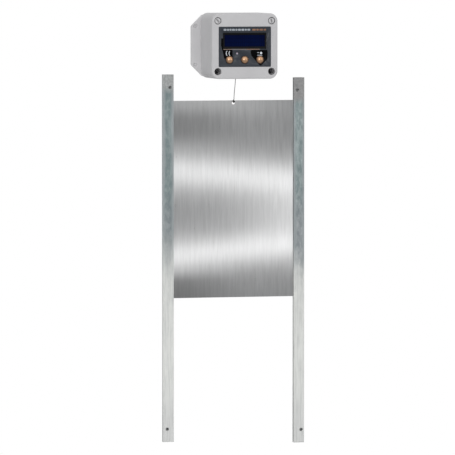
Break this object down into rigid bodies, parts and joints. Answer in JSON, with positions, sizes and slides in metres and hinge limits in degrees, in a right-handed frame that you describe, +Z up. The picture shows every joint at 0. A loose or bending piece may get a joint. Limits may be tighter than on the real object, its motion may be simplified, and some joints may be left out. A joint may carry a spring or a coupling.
{
  "type": "automatic coop door",
  "caption": "Battery control box that winds a cord to lift an aluminium pop-hole door in two aluminium wall rails.",
  "frame": {"origin": "on the wall's surface, midway between the rails and level with the right rail's lower end", "axes": "+X to the right seen from the front, +Y into the wall, +Z up along the rails"},
  "size_m": [0.238, 0.0834, 0.706],
  "materials": {
    "rail_aluminium": "mill finish, slightly dull",
    "door_aluminium": "brushed, vertical grain",
    "dark_steel": "blackened",
    "grey_plastic": "fine satin moulding",
    "label": "satin printed film",
    "black_metal": "black, satin",
    "display_window": "dark blue, glossy",
    "copper": "polished copper colour",
    "sensor_lens": "clear, tinted",
    "circuit_board": "solder mask",
    "black_plastic": "fine satin",
    "cell_wrap": "shrink sleeve",
    "steel": "zinc plated",
    "white_plastic": "satin",
    "rubber": "soft",
    "cord": "braided, thin",
    "dark_cord": "braided, dark"
  },
  "bodies": {
    "frame": {"battery_1": "cell_wrap", "battery_2": "cell_wrap", "battery_3": "cell_wrap", "battery_4": "cell_wrap", "battery_holder": "black_plastic", "board_screw_bottom_left": "steel", "board_screw_bottom_right": "steel", "board_screw_top_left": "steel", "board_screw_top_right": "steel", "bracket_screw_left": "steel", "bracket_screw_right": "steel", "buzzer": "black_plastic", "control_board": "circuit_board", "cord_bushing": "black_plastic", "display_bezel": "black_metal", "display_board": "circuit_board", "display_glass": "display_window", "gearbox_case": "steel", "housing_base": "grey_plastic", "key_switch_left": "black_plastic", "key_switch_middle": "black_plastic", "key_switch_right": "black_plastic", "label_panel": "label", "lid": "grey_plastic", "lid_gasket": "rubber", "lid_screw_bottom_left": "dark_steel", "lid_screw_bottom_right": "dark_steel", "lid_screw_top_left": "grey_plastic", "lid_screw_top_right": "grey_plastic", "lift_cord": "cord", "light_sensor": "sensor_lens", "motor_bracket": "steel", "motor_can": "steel", "pin_header": "black_plastic", "rail_left": "rail_aluminium", "rail_right": "rail_aluminium", "rail_screw_left_bottom": "dark_steel", "rail_screw_left_top": "dark_steel", "rail_screw_right_bottom": "dark_steel", "rail_screw_right_top": "dark_steel", "timer_chip": "black_plastic"},
    "door": {"door_panel": "door_aluminium", "cord_knot": "dark_cord"},
    "spool": {"spool": "white_plastic", "cord_winding": "cord", "spool_shaft": "steel"},
    "button_left": {"button_left": "copper"},
    "button_middle": {"button_middle": "copper"},
    "button_right": {"button_right": "copper"}
  },
  "joints": [
    {"name": "door_slide", "type": "slide", "parent": "frame", "child": "door", "axis": [0, 0, 1], "range_m": [-0.212, 0.014], "deforming": ["lift_cord"]},
    {"name": "spool_spin", "type": "hinge", "parent": "frame", "child": "spool", "pos_m": [0.012, -0.018, 0.633], "axis": [0, 1, 0], "range_deg": [-1013, 67]},
    {"name": "button_left_press", "type": "slide", "parent": "frame", "child": "button_left", "axis": [0, 1, 0], "range_m": [0, 0.0012], "stiffness_N_per_m": 1200},
    {"name": "button_middle_press", "type": "slide", "parent": "frame", "child": "button_middle", "axis": [0, 1, 0], "range_m": [0, 0.0012], "stiffness_N_per_m": 1200},
    {"name": "button_right_press", "type": "slide", "parent": "frame", "child": "button_right", "axis": [0, 1, 0], "range_m": [0, 0.0012], "stiffness_N_per_m": 1200}
  ],
  "couplings": [
    {"joint": "spool_spin", "follows": "door_slide", "rad_per_m": 83.333}
  ]
}
